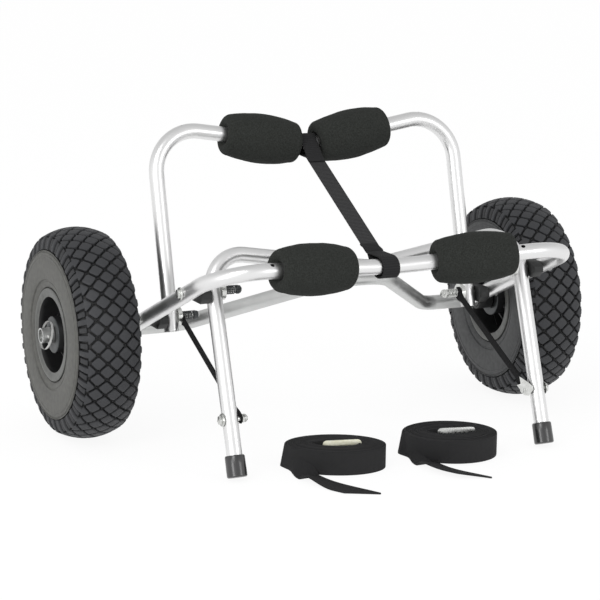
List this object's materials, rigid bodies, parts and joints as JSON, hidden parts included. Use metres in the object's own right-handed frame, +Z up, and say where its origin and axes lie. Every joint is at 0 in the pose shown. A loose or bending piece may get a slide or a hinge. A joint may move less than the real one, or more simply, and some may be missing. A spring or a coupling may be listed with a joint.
{
  "type": "kayak cart",
  "caption": "Folding kayak cart: tilted tube frame with foam pads, sprung kickstand, two pneumatic wheels, and rolled tie-down straps.",
  "frame": {"origin": "on the ground, under the middle of the bounding box of the whole set", "axes": "+X along the axle to the cart's right, +Y to the back, away from the kickstand, +Z up"},
  "size_m": [0.715, 0.5174, 0.3918],
  "materials": {
    "tube": "satin silver",
    "axle": "dull silver",
    "foam": "closed-cell foam, matt dark grey",
    "tyre": "matt dark grey",
    "rubber": "black, slightly glossy",
    "plastic": "black moulded",
    "rim": "black moulded",
    "steel": "zinc plated",
    "dark_steel": "black spring steel",
    "webbing": "dark grey woven webbing"
  },
  "bodies": {
    "frame": {"front_frame_tube": "tube", "axle_tube": "axle", "centre_strap": "webbing", "front_pad_left": "foam", "axle_collar_left": "plastic", "lock_pin_left": "steel", "limiter_strap_left": "webbing", "tie_strap_left": "webbing", "tie_buckle_left": "steel", "rear_pivot_bolt_left": "steel", "rear_pivot_spacer_left": "plastic", "rear_pivot_spring_left": "dark_steel", "rear_pivot_nut_left": "steel", "stand_pivot_bolt_left": "steel", "stand_pivot_spacer_left": "plastic", "stand_pivot_spring_left": "dark_steel", "stand_pivot_nut_left": "steel", "front_pad_right": "foam", "axle_collar_right": "plastic", "lock_pin_right": "steel", "limiter_strap_right": "webbing", "tie_strap_right": "webbing", "tie_buckle_right": "steel", "rear_pivot_bolt_right": "steel", "rear_pivot_spacer_right": "plastic", "rear_pivot_spring_right": "dark_steel", "rear_pivot_nut_right": "steel", "stand_pivot_bolt_right": "steel", "stand_pivot_spacer_right": "plastic", "stand_pivot_spring_right": "dark_steel", "stand_pivot_nut_right": "steel"},
    "rear_frame": {"rear_frame_tube": "tube", "rear_pad_left": "foam", "rear_saddle_washer_left": "steel", "rear_pad_right": "foam", "rear_saddle_washer_right": "steel"},
    "kickstand": {"stand_tube": "tube", "stand_foot_left": "rubber", "stand_saddle_washer_left": "steel", "leg_bolt_left": "steel", "leg_nut_left": "steel", "stand_foot_right": "rubber", "stand_saddle_washer_right": "steel", "leg_bolt_right": "steel", "leg_nut_right": "steel"},
    "wheel_left": {"tyre_left": "tyre", "inner_tube_left": "rubber", "rim_outer_left": "rim", "rim_inner_left": "rim", "bearing_outer_left": "steel", "bearing_inner_left": "steel"},
    "ring_left": {"lock_ring_left": "steel"},
    "wheel_right": {"tyre_right": "tyre", "inner_tube_right": "rubber", "rim_outer_right": "rim", "rim_inner_right": "rim", "bearing_outer_right": "steel", "bearing_inner_right": "steel"},
    "ring_right": {"lock_ring_right": "steel"}
  },
  "joints": [
    {"name": "rear_frame_fold", "type": "hinge", "parent": "frame", "child": "rear_frame", "pos_m": [0, 0.07282, 0.15496], "axis": [1, 0, 0], "range_deg": [0, 55], "deforming": ["centre_strap"]},
    {"name": "kickstand_fold", "type": "hinge", "parent": "frame", "child": "kickstand", "pos_m": [0, -0.06338, 0.21361], "axis": [1, 0, 0], "range_deg": [0, 65], "deforming": ["limiter_strap_left", "limiter_strap_right"]},
    {"name": "wheel_left_spin", "type": "hinge", "parent": "frame", "child": "wheel_left", "pos_m": [-0.3064, 0.12729, 0.1315], "axis": [1, 0, 0], "continuous": true},
    {"name": "wheel_right_spin", "type": "hinge", "parent": "frame", "child": "wheel_right", "pos_m": [0.3064, 0.12729, 0.1315], "axis": [1, 0, 0], "continuous": true},
    {"name": "lock_ring_left_flip", "type": "hinge", "parent": "frame", "child": "ring_left", "pos_m": [-0.3498, 0.14428, 0.1315], "axis": [-0.2419, 0, -0.9703], "range_deg": [0, 150]},
    {"name": "lock_ring_right_flip", "type": "hinge", "parent": "frame", "child": "ring_right", "pos_m": [0.3498, 0.14428, 0.1315], "axis": [-0.2419, 0, 0.9703], "range_deg": [0, 150]}
  ]
}
